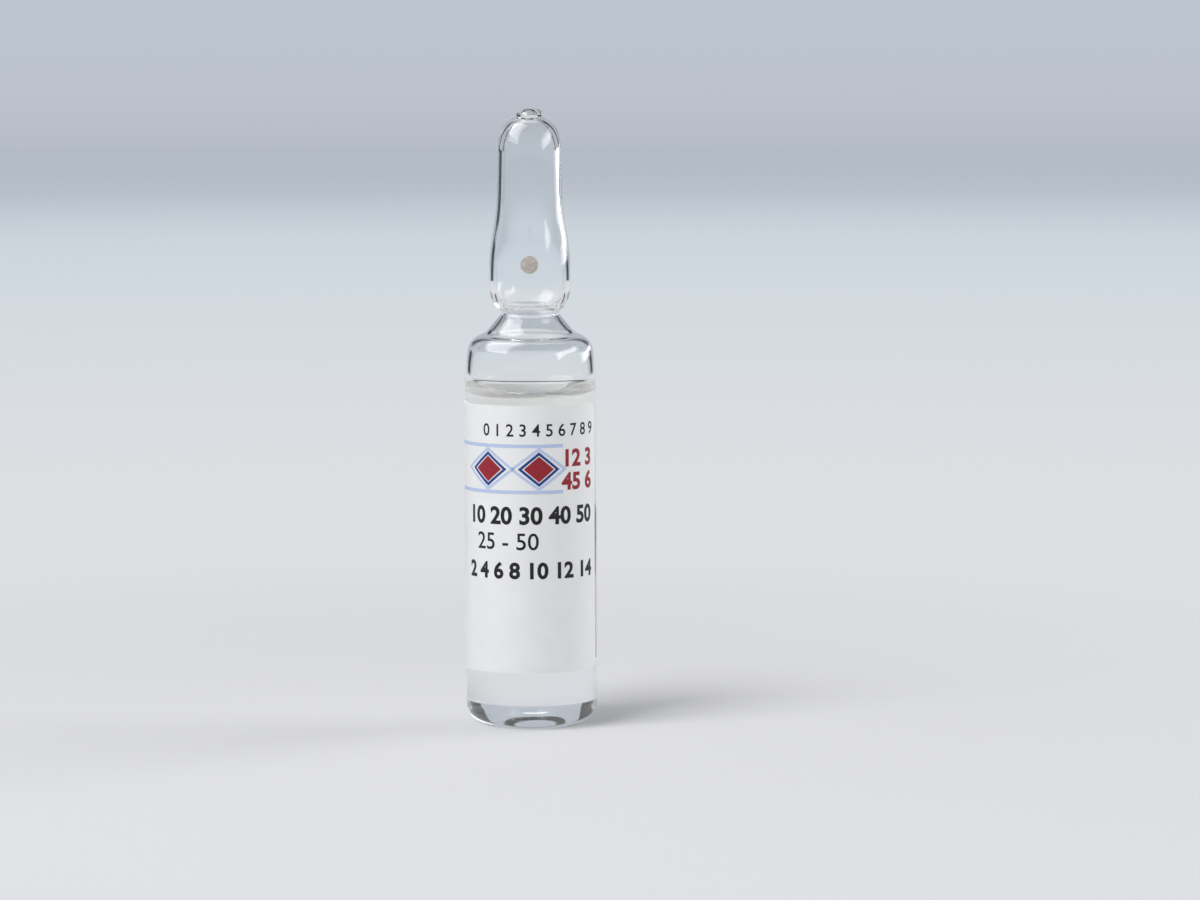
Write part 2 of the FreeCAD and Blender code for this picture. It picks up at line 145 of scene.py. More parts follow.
class Section:
    """Half section of a turned piece, drawn as one chain in the XZ plane."""

    def __init__(self, shape: Shape, start: Pair) -> None:
        """Put the pen down.

        Args:
            shape: Mesh that the section is drawn in.
            start: Radius and height of the first point.
        """
        self.shape = shape
        self.pen = shape.vertex(start[0], 0, start[1])

    def draw(self, *parts: Arc | Run) -> "Section":
        """Draw arcs and straight runs, each from the end of the one before.

        Args:
            parts: The arcs and runs in order.

        Returns:
            The section itself.
        """
        for part in parts:
            if isinstance(part, Arc):
                self._arc(part)
            else:
                self._run(part)
        return self

    def _arc(self, part: Arc) -> None:
        """Spin the pen about the arc's centre, which leaves a chain of edges.

        Args:
            part: The arc.
        """
        centre = Vector((part.centre[0], 0, part.centre[1]))
        first = self.pen.co - centre
        last = Vector((part.end[0], 0, part.end[1])) - centre
        turned = math.atan2(first.x * last.z - first.z * last.x, first.dot(last))
        spun = bmesh.ops.spin(self.shape.mesh, geom=[self.pen], cent=centre, axis=(0, -1, 0),
                              angle=turned, steps=part.steps)
        self.pen = next(item for item in spun["geom_last"] if isinstance(item, bmesh.types.BMVert))
        self.pen.co = Vector((part.end[0], 0, part.end[1]))

    def _run(self, part: Run) -> None:
        """Draw the pen out along a straight run.

        Args:
            part: The run.
        """
        stride = (Vector((part.end[0], 0, part.end[1])) - self.pen.co) / part.steps
        for _ in range(part.steps):
            pulled = bmesh.ops.extrude_vert_indiv(self.shape.mesh, verts=[self.pen])
            self.pen = pulled["verts"][0]
            self.pen.co += stride

    def turn(self, segments: int) -> None:
        """Spin the whole section about the axis into a closed skin.

        Args:
            segments: Number of faces round the axis.
        """
        mesh = self.shape.mesh
        bmesh.ops.spin(mesh, geom=mesh.verts[:] + mesh.edges[:], cent=(0, 0, 0), axis=(0, 0, 1),
                       angle=FULL_TURN, steps=segments, use_merge=True)
        self.shape.merge()


def wrapped(place: Vector, radius: float) -> Vector:
    """Wrap a flat place round the axis.

    Args:
        place: Distance round from the front, height, and height off the surface, in millimetres.
        radius: Radius in millimetres of the surface that it is wrapped on.

    Returns:
        The place on the turned surface.
    """
    angle = FRONT + place.x / radius
    reach = radius + place.z
    return Vector((reach * math.cos(angle), reach * math.sin(angle), place.y))


class Graph:
    """Writer of the nodes of one material, world or node group."""

    def __init__(self, tree: bpy.types.NodeTree) -> None:
        """Start on an empty tree.

        Args:
            tree: Tree that the nodes go into.
        """
        self.tree = tree
        tree.nodes.clear()

    def add(self, kind: str, inputs: dict | None = None, **settings: object) -> bpy.types.Node:
        """Add a node, with its inputs set or linked.

        Args:
            kind: Blender's name for the node.
            inputs: Value or output socket for each named or numbered input.
            settings: Values of the node's own settings.

        Returns:
            The new node.
        """
        node = self.tree.nodes.new(kind)
        for name, value in settings.items():
            setattr(node, name, value)
        self.feed(node, inputs or {})
        return node

    def feed(self, node: bpy.types.Node, inputs: dict) -> None:
        """Set a node's inputs, or link them to what feeds them.

        Args:
            node: The node.
            inputs: Value or output socket for each named or numbered input.
        """
        for name, value in inputs.items():
            if isinstance(value, bpy.types.NodeSocket):
                self.tree.links.new(value, node.inputs[name])
            else:
                node.inputs[name].default_value = value

    def spread(self, value: bpy.types.NodeSocket, low: float, high: float, to_low: float,
               to_high: float) -> bpy.types.NodeSocket:
        """Map a value from one range to another.

        Args:
            value: Value to map.
            low: Low end of its range.
            high: High end of its range.
            to_low: What the low end becomes.
            to_high: What the high end becomes.

        Returns:
            The mapped value.
        """
        inputs = {"Value": value, 1: low, 2: high, 3: to_low, 4: to_high}
        return self.add("ShaderNodeMapRange", inputs).outputs["Result"]

    def maths(self, operation: str, first: object, second: object = 0.0) -> bpy.types.NodeSocket:
        """Work out a sum, product or other result of two values.

        Args:
            operation: Blender's name for the operation.
            first: First value or socket.
            second: Second value or socket.

        Returns:
            The result.
        """
        return self.add("ShaderNodeMath", {0: first, 1: second}, operation=operation).outputs["Value"]

    def blend(self, share: object, first: object, second: object) -> bpy.types.NodeSocket:
        """Blend two colours.

        Args:
            share: Share of the second colour.
            first: First colour or socket.
            second: Second colour or socket.

        Returns:
            The blended colour.
        """
        return self.add("ShaderNodeMix", {"Factor": share, 6: first, 7: second}, data_type="RGBA").outputs[2]

    def ramp(self, value: bpy.types.NodeSocket,
             stops: tuple[tuple[float, Colour], ...]) -> bpy.types.NodeSocket:
        """Turn a value into a colour along a run of stops.

        Args:
            value: Value from 0 to 1.
            stops: Position and colour of each stop.

        Returns:
            The colour.
        """
        node = self.add("ShaderNodeValToRGB", {"Fac": value})
        elements = node.color_ramp.elements
        while len(elements) < len(stops):
            elements.new(0.5)
        for element, (position, colour) in zip(elements, stops):
            element.position = position
            element.color = colour
        return node.outputs["Color"]


def stretched_noise_group() -> bpy.types.NodeTree:
    """Make the shared effect of fine noise that may be drawn out along the axis.

    Returns:
        A node group that gives a noise value.
    """
    name = "stretched_noise"
    if name in bpy.data.node_groups:
        return bpy.data.node_groups[name]
    group = bpy.data.node_groups.new(name, "ShaderNodeTree")
    for given_name in ("Scale", "Stretch", "Detail"):
        group.interface.new_socket(given_name, in_out="INPUT", socket_type="NodeSocketFloat")
    group.interface.new_socket("Mask", in_out="OUTPUT", socket_type="NodeSocketFloat")
    graph = Graph(group)
    given = graph.add("NodeGroupInput").outputs
    place = graph.add("ShaderNodeTexCoord").outputs["Object"]
    squeeze = graph.add("ShaderNodeCombineXYZ", {"X": 1.0, "Y": 1.0, "Z": given["Stretch"]}).outputs[0]
    drawn = graph.add("ShaderNodeVectorMath", {0: place, 1: squeeze}, operation="MULTIPLY").outputs[0]
    noise = graph.add("ShaderNodeTexNoise",
                      {"Vector": drawn, "Scale": given["Scale"], "Detail": given["Detail"]})
    graph.add("NodeGroupOutput", {"Mask": noise.outputs["Fac"]})
    return group


FINISHED: dict[str, bpy.types.Material] = {}


class Finish:
    """Base of every finish: a Principled material whose effects come from nodes."""

    name: str

    def build(self) -> bpy.types.Material:
        """Make the material, or find it if it is there already.

        Returns:
            The material.
        """
        if self.name in FINISHED:
            return FINISHED[self.name]
        material = FINISHED[self.name] = bpy.data.materials.new(self.name)
        material.use_nodes = True
        graph = Graph(material.node_tree)
        shader = graph.add("ShaderNodeBsdfPrincipled")
        graph.add("ShaderNodeOutputMaterial", {"Surface": self.surface(graph, shader)})
        self.dress(graph, shader)
        return material

    def surface(self, graph: Graph, shader: bpy.types.Node) -> bpy.types.NodeSocket:
        """Give what the material's output shows: the shader alone, unless a finish adds to it."""
        return shader.outputs["BSDF"]

    def dress(self, graph: Graph, shader: bpy.types.Node) -> None:
        """Set the shader's sockets. Each finish does this in its own way.

        Args:
            graph: The material's nodes.
            shader: The material's shader.
        """
        raise NotImplementedError

    @staticmethod
    def grain(graph: Graph, scale: float, stretch: float, detail: float) -> bpy.types.NodeSocket:
        """Place the shared noise group in a material.

        Args:
            graph: The material's nodes.
            scale: Scale of the noise in features per metre.
            stretch: Share of the scale that is left along the axis.
            detail: Number of finer layers.

        Returns:
            The noise's value.
        """
        inputs = {"Scale": scale, "Stretch": stretch, "Detail": detail}
        return graph.add("ShaderNodeGroup", inputs, node_tree=stretched_noise_group()).outputs["Mask"]

    @staticmethod
    def relief(graph: Graph, shader: bpy.types.Node, height: bpy.types.NodeSocket, depth: float,
               strength: float = 1.0) -> None:
        """Give a shader a bump.

        Args:
            graph: The material's nodes.
            shader: Shader that gets the bump.
            height: Height from 0 to 1.
            depth: What a height of 1 is, in metres.
            strength: Strength of the bump.
        """
        bump = graph.add("ShaderNodeBump", {"Height": height, "Distance": depth, "Strength": strength})
        graph.feed(shader, {"Normal": bump.outputs["Normal"]})


class ClearFinish(Finish):
    """Base of the clear finishes, which let the lamps' light through to what is inside."""

    passed: Colour

    def surface(self, graph: Graph, shader: bpy.types.Node) -> bpy.types.NodeSocket:
        """Show the shader, but let rays from lamps straight through.

        Args:
            graph: The material's nodes.
            shader: The material's shader.

        Returns:
            What the material's output shows.
        """
        lamp_ray = graph.add("ShaderNodeLightPath").outputs["Is Shadow Ray"]
        through = graph.add("ShaderNodeBsdfTransparent", {"Color": self.passed}).outputs[0]
        mixed = graph.add("ShaderNodeMixShader", {0: lamp_ray, 1: shader.outputs["BSDF"], 2: through})
        return mixed.outputs[0]


@dataclass(frozen=True)
class ClearGlass(ClearFinish):
    """Borosilicate glass with faint draw lines, soft waves and a trace of smudges."""

    name: str = "drawn_glass"
    passed: Colour = (0.93, 0.93, 0.93, 1.0)
    ior: float = 1.49
    tint: Colour = (0.985, 0.992, 0.995, 1.0)
    dull_tint: Colour = (0.975, 0.983, 0.988, 1.0)
    draw_line_scale: float = 900.0
    draw_line_stretch: float = 0.03
    draw_line_depth: float = 4e-7
    smudge_scale: float = 160.0
    smudge_stretch: float = 0.6
    smudge_tones: Pair = (0.5, 0.75)
    smudge_matt: Pair = (0.55, 0.8)
    smudge_roughness: float = 0.012

    def dress(self, graph: Graph, shader: bpy.types.Node) -> None:
        """Set the shader's sockets.

        Args:
            graph: The material's nodes.
            shader: The material's shader.
        """
        lines = self.grain(graph, self.draw_line_scale, self.draw_line_stretch, 1.0)
        smudges = self.grain(graph, self.smudge_scale, self.smudge_stretch, 3.0)
        marked = graph.spread(smudges, *self.smudge_tones, 0.0, 1.0)
        graph.feed(shader, {
            "Base Color": graph.blend(marked, self.tint, self.dull_tint),
            "Roughness": graph.spread(smudges, *self.smudge_matt, 0.0, self.smudge_roughness),
            "IOR": self.ior, "Metallic": 0.0, "Transmission Weight": 1.0,
        })
        self.relief(graph, shader, lines, self.draw_line_depth)


@dataclass(frozen=True)
class ClearSolution(ClearFinish):
    """Watery solution whose surface has the faintest ripple."""

    name: str = "still_solution"
    passed: Colour = (0.9, 0.9, 0.9, 1.0)
    ior: float = 1.333
    tint: Colour = (0.995, 0.997, 0.998, 1.0)
    deep_tint: Colour = (0.985, 0.99, 0.993, 1.0)
    ripple_scale: float = 220.0
    ripple_depth: float = 6e-7

    def dress(self, graph: Graph, shader: bpy.types.Node) -> None:
        """Set the shader's sockets.

        Args:
            graph: The material's nodes.
            shader: The material's shader.
        """
        ripple = self.grain(graph, self.ripple_scale, 1.0, 1.0)
        graph.feed(shader, {
            "Base Color": graph.blend(ripple, self.tint, self.deep_tint), "Roughness": 0.0,
            "IOR": self.ior, "Metallic": 0.0, "Transmission Weight": 1.0,
        })
        self.relief(graph, shader, ripple, self.ripple_depth)


@dataclass(frozen=True)
class LabelPaper(Finish):
    """White coated label paper with a fine fibre and a soft sheen; on its back a faint painted glow stands
    in for light shining through the paper.
    """

    name: str = "coated_paper"
    white: Colour = tone(241, 241, 241)
    shade: Colour = tone(238, 238, 238)
    fibre_scale: float = 5200.0
    fibre_stretch: float = 0.55
    fibre_depth: float = 3e-6
    fibre_strength: float = 0.5
    cloud_scale: float = 500.0
    gloss: float = 0.42
    matt: float = 0.56
    # painted light: colour and strength of an emission that stands in for light shining through the paper
    glow: Colour = tone(255, 249, 240)
    painted_backlight_strength: float = 0.0

    def dress(self, graph: Graph, shader: bpy.types.Node) -> None:
        """Set the shader's sockets.

        Args:
            graph: The material's nodes.
            shader: The material's shader.
        """
        fibre = self.grain(graph, self.fibre_scale, self.fibre_stretch, 4.0)
        cloud = self.grain(graph, self.cloud_scale, 1.0, 3.0)
        clouded = graph.spread(cloud, NOISE_LOW, NOISE_HIGH, 0.0, 1.0)
        # the emission is painted light, used on the sheet's back only
        graph.feed(shader, {
            "Base Color": graph.blend(clouded, self.white, self.shade),
            "Roughness": graph.spread(fibre, NOISE_LOW, NOISE_HIGH, self.gloss, self.matt),
            "Emission Color": self.glow, "Emission Strength": self.painted_backlight_strength,
        })
        self.relief(graph, shader, fibre, self.fibre_depth, self.fibre_strength)


@dataclass(frozen=True)
class PrintInk(Finish):
    """Printing ink on the label, a little uneven where the paper's fibre breaks it."""

    name: str
    colour: Colour
    worn: float = 0.03
    worn_tone: float = 0.8
    speck_scale: float = 7000.0
    speck_tones: Pair = (0.45, 0.75)
    speck_depth: float = 1e-6
    speck_strength: float = 0.4
    gloss: float = 0.38
    matt: float = 0.5
    sheen: float = 0.3

    def dress(self, graph: Graph, shader: bpy.types.Node) -> None:
        """Set the shader's sockets.

        Args:
            graph: The material's nodes.
            shader: The material's shader.
        """
        speck = self.grain(graph, self.speck_scale, 1.0, 3.0)
        pale = tuple(c + (self.worn_tone - c) * self.worn for c in self.colour[:3]) + (1.0,)
        specked = graph.spread(speck, *self.speck_tones, 0.0, 1.0)
        graph.feed(shader, {
            "Base Color": graph.blend(specked, self.colour, pale),
            "Roughness": graph.spread(speck, NOISE_LOW, NOISE_HIGH, self.gloss, self.matt),
            "Specular IOR Level": self.sheen,
        })
        self.relief(graph, shader, speck, self.speck_depth, self.speck_strength)


@dataclass(frozen=True)
class DotEnamel(Finish):
    """Fired enamel ink, grey-beige, matt and mottled."""

    name: str = "fired_enamel"
    body: Colour = tone(196, 190, 181)
    fleck: Colour = tone(172, 165, 156)
    mottle_scale: float = 2600.0
    mottle_tones: Pair = (0.35, 0.65)
    mottle_depth: float = 1.2e-5
    gloss: float = 0.5
    matt: float = 0.72

    def dress(self, graph: Graph, shader: bpy.types.Node) -> None:
        """Set the shader's sockets.

        Args:
            graph: The material's nodes.
            shader: The material's shader.
        """
        mottle = self.grain(graph, self.mottle_scale, 1.0, 3.0)
        mottled = graph.spread(mottle, *self.mottle_tones, 0.0, 1.0)
        graph.feed(shader, {
            "Base Color": graph.blend(mottled, self.body, self.fleck),
            "Roughness": graph.spread(mottle, NOISE_LOW, NOISE_HIGH, self.gloss, self.matt),
        })
        self.relief(graph, shader, mottle, self.mottle_depth)


class Ink(Enum):
    """Inks that the label is printed with."""

    BLACK = PrintInk("black_ink", tone(22, 21, 24))
    RED = PrintInk("red_ink", tone(150, 28, 42))
    BLUE = PrintInk("blue_ink", tone(34, 66, 138))
    PALE_BLUE = PrintInk("pale_blue_ink", tone(190, 204, 234))


# Sizes that more than one piece follows, in millimetres. A centre is a radius and a height.
ROUND_SEGMENTS = 240
BODY_RADIUS = 7.375
CAVITY_RADIUS = 6.825
CAVITY_FLOOR = 1.15
CAVITY_RING = 0.6
PUSH_UP_CENTRE = (0, -13.844)
RING_CENTRE = (4.145, 1.5)
HEEL_CENTRE = (4.875, 2.5)
CAVITY_HEEL_CENTRE = (4.875, 2.55)
WALL_TOP = 39.5
LEAN_CENTRE = (-7.125, WALL_TOP)
SHOULDER_CENTRE = (4.753, 41.809)
WAIST_CENTRE = (3.56, 46.5)
BELLY_CENTRE = (-4.85, 50.5)
BULB_SIDE_CENTRE = (-21.35, 50.5)


@dataclass
class Vessel:
    """Blown glass body, neck, bulb and sealed stem, with its bead and its score."""

    segments: int = ROUND_SEGMENTS
    bead_centre: float = 68.68
    bead_radius: float = 1.475
    bead_rise: float = 0.72
    bead_side_tilt: float = 4.0
    bead_front_tilt: float = 4.5
    bead_rows: int = 14
    dome_centre: float = 65.65
    dome_radius: float = 3.4
    inner_dome_centre: float = 65.4
    inner_dome_radius: float = 2.9
    hollow_radius: float = 1.15
    hollow_waist: float = 0.97
    hollow_rise: float = 0.08
    hollow_top: float = 69.0
    score_height: float = WAIST_CENTRE[1]
    score_reach: float = 0.35
    score_root_radius: float = 3.11
    score_slope: float = 0.7
    score_sweep: float = 60.0
    score_run_out: float = 8.0
    waist_limit: float = 4.0
    edge_margin: float = 1e-3

    def build(self, finish: Finish) -> bpy.types.Object:
        """Turn both skins, shape the bead and cut the score.

        Args:
            finish: Finish of the glass.

        Returns:
            The finished piece.
        """
        outer = self._outer_skin()
        self._shape_bead(outer)
        self._cut_score(outer)
        inner = self._inner_skin()
        bmesh.ops.reverse_faces(inner.mesh, faces=inner.mesh.faces)
        skin = bpy.data.meshes.new("inner_skin")
        inner.mesh.to_mesh(skin)
        inner.mesh.free()
        outer.mesh.from_mesh(skin)
        bpy.data.meshes.remove(skin)
        piece = outer.finish("glass_vessel", finish.build())
        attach(piece, "root")
        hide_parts("glass_ampoule")
        return piece

    def _outer_skin(self) -> Shape:
        """Turn the outer skin, from under the foot to the top of the bead.

        Returns:
            The skin, with the bead still upright.
        """
        shape = Shape()
        edge = math.sqrt(self.dome_radius ** 2 - self.bead_radius ** 2)
        section = Section(shape, (0, 0.55)).draw(
            Arc(PUSH_UP_CENTRE, (3.754, 0.052), 8),
            Arc(RING_CENTRE, (RING_CENTRE[0], 0), 5),
            Run((HEEL_CENTRE[0], 0), 2),
            Arc(HEEL_CENTRE, (BODY_RADIUS, HEEL_CENTRE[1]), 18),
            Run((BODY_RADIUS, WALL_TOP), 6),
            Arc(LEAN_CENTRE, (7.109, 42.267), 6),
            Arc(SHOULDER_CENTRE, (5.574, 44.064), 14),
            Arc((6.326, 46.131), (4.628, 44.732), 8),
            Run((3.327, 46.31), 3),
            Arc(WAIST_CENTRE, (3.361, 46.724), 14),
            Arc((1.037, 49.342), (4.471, 48.666), 14),
            Arc(BELLY_CENTRE, (4.65, 50.5), 5),
            Arc(BULB_SIDE_CENTRE, (4.224, 55.189), 8),
            Arc((35.131, 60.857), (3.72, 60.0), 8),
            Run((3.6, 64.4), 3),
            Arc((-5.397, 64.155), (3.277, 66.558), 7),
            Arc((0, self.dome_centre), (self.bead_radius, self.dome_centre + edge), 14),
        )
        for row in range(1, self.bead_rows + 1):
            rise = QUARTER_TURN * row / self.bead_rows
            section.draw(Run((self.bead_radius * math.cos(rise),
                              self.bead_centre + self.bead_rise * math.sin(rise))))
        section.pen.co.x = 0
        section.turn(self.segments)
        return shape

    def _inner_skin(self) -> Shape:
        """Turn the inner skin, the wall of the sealed cavity and of the hollow in the bead.

        Returns:
            The skin.
        """
        shape = Shape()
        edge = math.sqrt(self.inner_dome_radius ** 2 - self.hollow_radius ** 2)
        section = Section(shape, (0, CAVITY_FLOOR)).draw(
            Arc(PUSH_UP_CENTRE, (3.91, 0.631), 8),
            Arc(RING_CENTRE, (RING_CENTRE[0], CAVITY_RING), 4),
            Run((CAVITY_HEEL_CENTRE[0], CAVITY_RING), 2),
            Arc(CAVITY_HEEL_CENTRE, (CAVITY_RADIUS, CAVITY_HEEL_CENTRE[1]), 16),
            Run((CAVITY_RADIUS, WALL_TOP), 6),
            Arc(LEAN_CENTRE, (6.569, 42.162), 6),
            Arc(SHOULDER_CENTRE, (5.386, 43.548), 14),
            Arc((6.327, 46.133), (4.29, 44.285), 10),
            Run((2.822, 45.902), 3),
            Arc(WAIST_CENTRE, (2.963, 47.239), 12),
            Arc((1.078, 49.573), (4.042, 49.109), 12),
            Arc(BELLY_CENTRE, (4.15, 50.5), 5),
            Arc(BULB_SIDE_CENTRE, (3.733, 55.092), 8),
            Arc((35.323, 60.876), (3.22, 60.0), 8),
            Run((3.1, 64.4), 3),
            Arc((-3.308, 64.225), (2.733, 66.37), 7),
            Arc((0, self.inner_dome_centre), (self.hollow_radius, self.inner_dome_centre + edge), 12),
        )
        foot = section.pen.co.z + self.hollow_rise
        for row in range(self.bead_rows + 1):
            rise = QUARTER_TURN * row / self.bead_rows
            section.draw(Run((self.hollow_radius * self.hollow_waist * math.cos(rise),
                              foot + (self.hollow_top - foot) * math.sin(rise))))
        section.pen.co.x = 0
        section.turn(self.segments)
        return shape

    def _shape_bead(self, shape: Shape) -> None:
        """Lean the bead over and let its foot follow the dome.

        Args:
            shape: Outer skin, with the bead still upright.
        """
        side = math.tan(math.radians(self.bead_side_tilt))
        front = math.tan(math.radians(self.bead_front_tilt))
        fall = self.bead_radius / math.sqrt(self.dome_radius ** 2 - self.bead_radius ** 2)
        floor = self.bead_centre - self.edge_margin

        def lean(place: Vector) -> Vector:
            """Move one place of the upright bead, and leave every other.

            Args:
                place: Where a vertex is.

            Returns:
                Where it goes.
            """
            reach = math.hypot(place.x, place.y)
            if place.z < floor or reach > self.bead_radius + self.edge_margin:
                return place
            level = (place.z - self.bead_centre) / self.bead_rise
            rise = math.atan2(max(level, 0.0), reach / self.bead_radius)
            angle = math.atan2(place.y, place.x)
            lift = self.bead_radius * (side * math.cos(angle) + front * math.sin(angle))
            curve = fall * self.bead_radius / 2
            foot = (self.bead_rise - math.sqrt(self.bead_rise ** 2 + 4 * curve * lift)) / (2 * curve)
            rise = foot + (QUARTER_TURN - foot) * rise / QUARTER_TURN
            spread = math.cos(rise)
            up = self.bead_centre + self.bead_rise * math.sin(rise) + lift * spread
            out = self.bead_radius * spread
            return Vector((out * math.cos(angle), out * math.sin(angle), up))

        shape.move(lean)

    def _cut_score(self, shape: Shape) -> None:
        """Press the score's V into the waist under the dot.

        Args:
            shape: Outer skin.
        """
        half = math.radians(self.score_sweep / 2)
        run_out = math.radians(self.score_run_out)

        def press(place: Vector) -> Vector:
            """Move one place of the waist in to the score's root, and leave every other.

            Args:
                place: Where a vertex is.

            Returns:
                Where it goes.
            """
            reach = math.hypot(place.x, place.y)
            away = abs(place.z - self.score_height)
            turned = abs(math.atan2(place.y, place.x) - FRONT)
            if away > self.score_reach or reach > self.waist_limit or turned > half:
                return place
            share = min(1.0, (half - turned) / run_out)
            root = self.score_root_radius + away / self.score_slope
            if root >= reach:
                return place
            pressed = reach + (root - reach) * share
            return Vector((place.x * pressed / reach, place.y * pressed / reach, place.z))

        shape.move(press)


@dataclass
class Fill:
    """Clear solution in the cavity, up to its meniscus."""

    segments: int = ROUND_SEGMENTS
    overlap: float = 0.03
    rim: float = 39.0
    level: float = 37.2
    meniscus_centre: Pair = (4.221, 39.98)
    meniscus_foot: float = 4.225

    def build(self, finish: Finish) -> bpy.types.Object:
        """Turn the filling, wetted a hair into the glass so that no air shows between.

        Args:
            finish: Finish of the solution.

        Returns:
            The finished piece.
        """
        shape = Shape()
        wall = CAVITY_RADIUS + self.overlap
        ring = CAVITY_RING - self.overlap
        Section(shape, (0, CAVITY_FLOOR - self.overlap)).draw(
            Arc(PUSH_UP_CENTRE, (3.902, 0.602), 8),
            Arc(RING_CENTRE, (RING_CENTRE[0], ring), 4),
            Run((CAVITY_HEEL_CENTRE[0], ring), 2),
            Arc(CAVITY_HEEL_CENTRE, (wall, CAVITY_HEEL_CENTRE[1]), 16),
            Run((wall, self.rim), 6),
            Run((CAVITY_RADIUS, self.rim)),
            Arc(self.meniscus_centre, (self.meniscus_foot, self.level), 22),
            Run((0, self.level), 6),
        ).turn(self.segments)
        piece = shape.finish("clear_filling", finish.build())
        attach(piece, "root")
        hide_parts("solution")
        return piece


@dataclass
class Label:
    """Paper label wrapped round the body, with its printing."""

    radius: float = BODY_RADIUS
    back: float = -0.012
    face: float = 0.088
    foot: float = 6.6
    top: float = 36.6
    right_angle: float = 73.5
    sweep: float = 295.0
    corner: float = 1.2
    corner_steps: int = 8
    bend_step: float = 0.3
    # painted light: the sheet's back glows a little, standing in for light shining through the paper from
    # outside
    back_finish: Finish = LabelPaper("paper_back_painted_glow", painted_backlight_strength=0.18)

    def build(self, finish: Finish) -> list[bpy.types.Object]:
        """Make the sheet and everything printed on it.

        Args:
            finish: Finish of the bare paper.

        Returns:
            The sheet and its printing, one piece for each ink.
        """
        pieces = [self._sheet(finish)]
        for ink in Ink:
            shape = Shape()
            for mark in LAYOUT:
                if mark.ink is ink:
                    mark.draw(shape)
            if shape.mesh.faces:
                pieces.append(self._print(shape, ink))
        return pieces

    def _bend(self, shape: Shape) -> None:
        """Cut a flat shape into narrow strips and wrap it round the body.

        Args:
            shape: Flat shape: distance round from the front, height, and height off the glass.
        """
        mesh = shape.mesh
        low = min(v.co.x for v in mesh.verts)
        high = max(v.co.x for v in mesh.verts)
        for cut in range(math.floor(low / self.bend_step) + 1, math.ceil(high / self.bend_step)):
            geometry = mesh.verts[:] + mesh.edges[:] + mesh.faces[:]
            bmesh.ops.bisect_plane(mesh, geom=geometry, dist=1e-6, plane_no=(1, 0, 0),
                                   plane_co=(cut * self.bend_step, 0, 0))
        shape.move(lambda place: wrapped(place, self.radius))

    def _sheet(self, finish: Finish) -> bpy.types.Object:
        """Make the paper: a flat blank with rounded corners, given its thickness and wrapped.

        Args:
            finish: Finish of the bare paper.

        Returns:
            The finished piece, whose back has a finish of its own, with a painted glow.
        """
        shape = Shape()
        right = math.radians(self.right_angle) * self.radius
        left = right - math.radians(self.sweep) * self.radius
        corners = ((left, self.foot), (right, self.foot), (right, self.top), (left, self.top))
        blank = shape.mesh.faces.new([shape.vertex(x, y, self.back) for x, y in corners])
        bmesh.ops.bevel(shape.mesh, geom=blank.verts[:], offset=self.corner, segments=self.corner_steps,
                        profile=0.5, affect="VERTICES", material=-1)
        raised = bmesh.ops.extrude_face_region(shape.mesh, geom=shape.mesh.faces[:])
        lifted = [item for item in raised["geom"] if isinstance(item, bmesh.types.BMVert)]
        bmesh.ops.translate(shape.mesh, verts=lifted, vec=(0, 0, self.face - self.back))
        bmesh.ops.recalc_face_normals(shape.mesh, faces=shape.mesh.faces)
        self._bend(shape)
        piece = shape.finish("label_sheet", finish.build())
        piece.data.materials.append(self.back_finish.build())
        inner = (self.radius + (self.back + self.face) / 2) * MM
        for face in piece.data.polygons:
            face.material_index = int(face.center.xy.length < inner)
        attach(piece, "root")
        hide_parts("label")
        return piece

    def _print(self, shape: Shape, ink: Ink) -> bpy.types.Object:
        """Lay one ink's marks on the paper.

        Args:
            shape: The ink's marks, flat.
            ink: The ink.

        Returns:
            The finished piece.
        """
        self._bend(shape)
        piece = shape.finish("print_" + ink.name.lower(), ink.value.build())
        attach(piece, "root")
        return piece


PRINT_BASE = 0.08
PRINT_TOP = 0.098
FIGURE_SHARE = 0.73


@dataclass(frozen=True)
class Figures:
    """Row of plain figures printed on the label."""

    ink: Ink
    text: str
    right: float
    foot: float
    height: float
    weight: float = 0.0
    width: float = 1.0

    def draw(self, shape: Shape) -> None:
        """Add the figures to an ink's flat shape.

        Args:
            shape: Flat shape that they are added to.
        """
        curve = bpy.data.curves.new("figures", "FONT")
        curve.body = self.text
        curve.size = self.height / FIGURE_SHARE
        curve.offset = self.weight
        curve.extrude = (PRINT_TOP - PRINT_BASE) / 2
        curve.align_x = "RIGHT"
        curve.resolution_u = 4
        holder = bpy.data.objects.new("figures", curve)
        flat = bpy.data.meshes.new_from_object(holder)
        flat.transform(Matrix.Diagonal((self.width, 1, 1, 1)))
        flat.transform(Matrix.Translation((self.right, self.foot, (PRINT_TOP + PRINT_BASE) / 2)))
        shape.mesh.from_mesh(flat)
        shape.merge()
        bmesh.ops.dissolve_degenerate(shape.mesh, dist=1e-4, edges=shape.mesh.edges)
        bpy.data.objects.remove(holder)
        bpy.data.curves.remove(curve)
        bpy.data.meshes.remove(flat)


@dataclass(frozen=True)
class Field:
    """Flat printed shape with straight sides: a bar, a lozenge or the frame of one."""

    ink: Ink
    corners: tuple[Pair, ...]
    hole: float = 0.0

    def draw(self, shape: Shape) -> None:
        """Add the field to an ink's flat shape.

        Args:
            shape: Flat shape that it is added to.
        """
        face = shape.mesh.faces.new([shape.vertex(x, y, PRINT_BASE) for x, y in self.corners])
        face.normal_update()
        kept = [face]
        if self.hole:
            framed = bmesh.ops.inset_individual(shape.mesh, faces=[face], thickness=self.hole,
                                                use_even_offset=True)
            bmesh.ops.delete(shape.mesh, geom=[face], context="FACES_ONLY")
            kept = framed["faces"]
        raised = bmesh.ops.extrude_face_region(shape.mesh, geom=kept)
        lifted = [item for item in raised["geom"] if isinstance(item, bmesh.types.BMVert)]
        bmesh.ops.translate(shape.mesh, verts=lifted, vec=(0, 0, PRINT_TOP - PRINT_BASE))
        touched = {f for item in lifted for f in item.link_faces}
        bmesh.ops.recalc_face_normals(shape.mesh, faces=list(touched | set(kept)))


